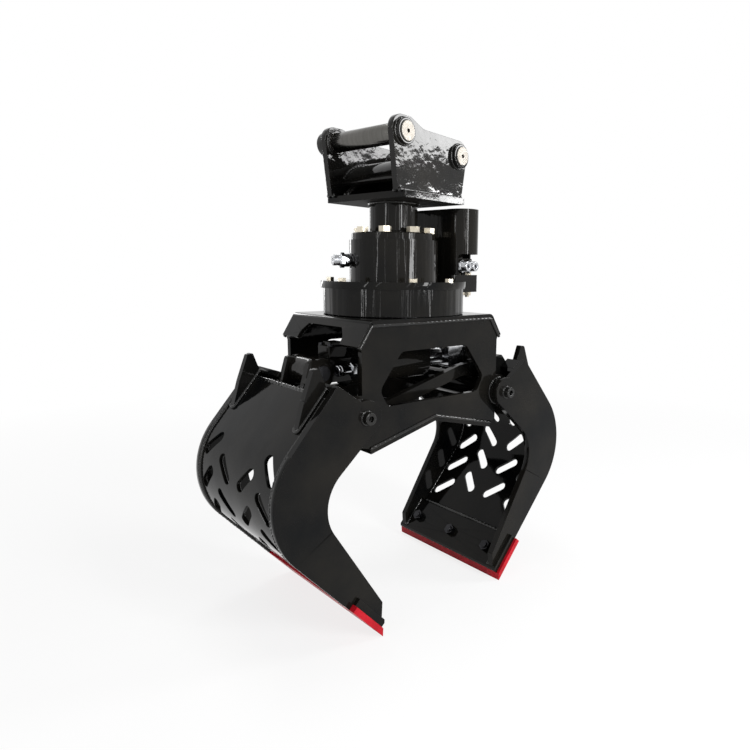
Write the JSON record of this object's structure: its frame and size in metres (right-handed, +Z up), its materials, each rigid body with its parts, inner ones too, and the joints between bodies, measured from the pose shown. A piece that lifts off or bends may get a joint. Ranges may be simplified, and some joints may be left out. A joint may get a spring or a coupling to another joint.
{
  "type": "demolition grapple",
  "caption": "Two-jaw hydraulic grapple with perforated curved jaws and bolt-on blades, a folded frame, a geared rotator and a two-pin excavator head.",
  "frame": {"origin": "on the ground, midway between the two cutting edges that the grapple stands on", "axes": "+X the right jaw opens this way, -Y the side with the sync link, +Z up towards the excavator's arm"},
  "size_m": [0.8036, 0.372, 1.0375],
  "materials": {
    "black_paint": "gloss",
    "red_paint": "satin",
    "dark_steel": "satin",
    "pin_steel": "satin",
    "chrome_steel": "polished",
    "gear_steel": "satin",
    "zinc_bolts": "satin",
    "bush_bronze": "satin",
    "seal_rubber": "matte",
    "glide_plastic": "matte"
  },
  "bodies": {
    "frame": {"frame_deck": "black_paint", "belly_plate": "black_paint", "frame_sides": "black_paint", "pivot_tubes": "black_paint", "pivot_bushes": "bush_bronze", "ring_gear": "gear_steel", "ring_gear_bolts": "zinc_bolts", "swivel_spool": "gear_steel"},
    "head": {"head_plate": "black_paint", "ears": "black_paint", "ear_bosses": "black_paint", "ear_arch": "black_paint", "ear_web": "black_paint", "head_neck": "black_paint", "housing_cover": "black_paint", "rotator_housing": "black_paint", "cover_bolts": "zinc_bolts", "swivel_sleeve": "gear_steel", "swivel_seals": "seal_rubber", "slew_flange": "black_paint", "slew_drum": "black_paint", "flange_bolts": "zinc_bolts", "glide_rings": "glide_plastic", "pinion_cover": "black_paint", "hydraulic_motor": "black_paint", "motor_bolts": "zinc_bolts", "motor_guard": "black_paint", "hose_fittings": "chrome_steel"},
    "pinion": {"drive_pinion": "gear_steel"},
    "jaw_left": {"jaw_left_side_plates": "black_paint", "jaw_left_back_plate": "black_paint", "jaw_left_blade": "red_paint", "jaw_left_tip_plate": "black_paint", "jaw_left_blade_bolts": "dark_steel", "jaw_left_horns": "black_paint", "jaw_left_cross_plate": "black_paint", "jaw_left_lugs": "black_paint", "jaw_left_pins": "pin_steel", "jaw_left_pivot_pin": "pin_steel"},
    "jaw_right": {"jaw_right_side_plates": "black_paint", "jaw_right_back_plate": "black_paint", "jaw_right_blade": "red_paint", "jaw_right_tip_plate": "black_paint", "jaw_right_blade_bolts": "dark_steel", "jaw_right_horns": "black_paint", "jaw_right_cross_plate": "black_paint", "jaw_right_lugs": "black_paint", "jaw_right_pins": "pin_steel", "jaw_right_pivot_pin": "pin_steel"},
    "barrel": {"cylinder_barrel": "black_paint", "cylinder_gland": "black_paint", "barrel_bush": "bush_bronze", "barrel_fittings": "chrome_steel"},
    "rod": {"cylinder_rod": "chrome_steel", "cylinder_piston": "gear_steel", "piston_seal": "seal_rubber", "rod_bush": "bush_bronze"},
    "link": {"sync_link": "black_paint"},
    "upper_pin": {"upper_hitch_pin": "pin_steel"},
    "lower_pin": {"lower_hitch_pin": "pin_steel"}
  },
  "joints": [
    {"name": "head_turn", "type": "hinge", "parent": "frame", "child": "head", "pos_m": [0, 0, 0.7], "axis": [0, 0, 1], "continuous": true},
    {"name": "pinion_spin", "type": "hinge", "parent": "head", "child": "pinion", "pos_m": [0.16783, -0.00762, 0.697], "axis": [0, 0, 1], "continuous": true},
    {"name": "jaw_left_swing", "type": "hinge", "parent": "frame", "child": "jaw_left", "pos_m": [-0.2, 0, 0.46], "axis": [0, -1, 0], "range_deg": [-21, 22.5]},
    {"name": "jaw_right_swing", "type": "hinge", "parent": "frame", "child": "jaw_right", "pos_m": [0.2, 0, 0.46], "axis": [0, 1, 0], "range_deg": [-21, 22.5]},
    {"name": "barrel_tilt", "type": "hinge", "parent": "jaw_left", "child": "barrel", "pos_m": [-0.222, 0, 0.532], "axis": [0, -1, 0], "range_deg": [-22.5, 21]},
    {"name": "rod_tilt", "type": "hinge", "parent": "jaw_right", "child": "rod", "pos_m": [0.222, 0, 0.532], "axis": [0, 1, 0], "range_deg": [-22.5, 21]},
    {"name": "link_tilt", "type": "hinge", "parent": "jaw_left", "child": "link", "pos_m": [-0.18539, 0, 0.40697], "axis": [0, -1, 0], "range_deg": [-22.5, 21]},
    {"name": "upper_pin_slide", "type": "slide", "parent": "head", "child": "upper_pin", "axis": [0.1461, -0.9893, 0], "range_m": [0, 0.26]},
    {"name": "lower_pin_slide", "type": "slide", "parent": "head", "child": "lower_pin", "axis": [0.1461, -0.9893, 0], "range_m": [0, 0.26]}
  ],
  "couplings": [
    {"joint": "pinion_spin", "follows": "head_turn", "ratio": 4.8947},
    {"joint": "jaw_right_swing", "follows": "jaw_left_swing", "ratio": 1},
    {"joint": "barrel_tilt", "follows": "jaw_left_swing", "ratio": -1},
    {"joint": "rod_tilt", "follows": "jaw_left_swing", "ratio": -1},
    {"joint": "link_tilt", "follows": "jaw_left_swing", "ratio": -1}
  ]
}
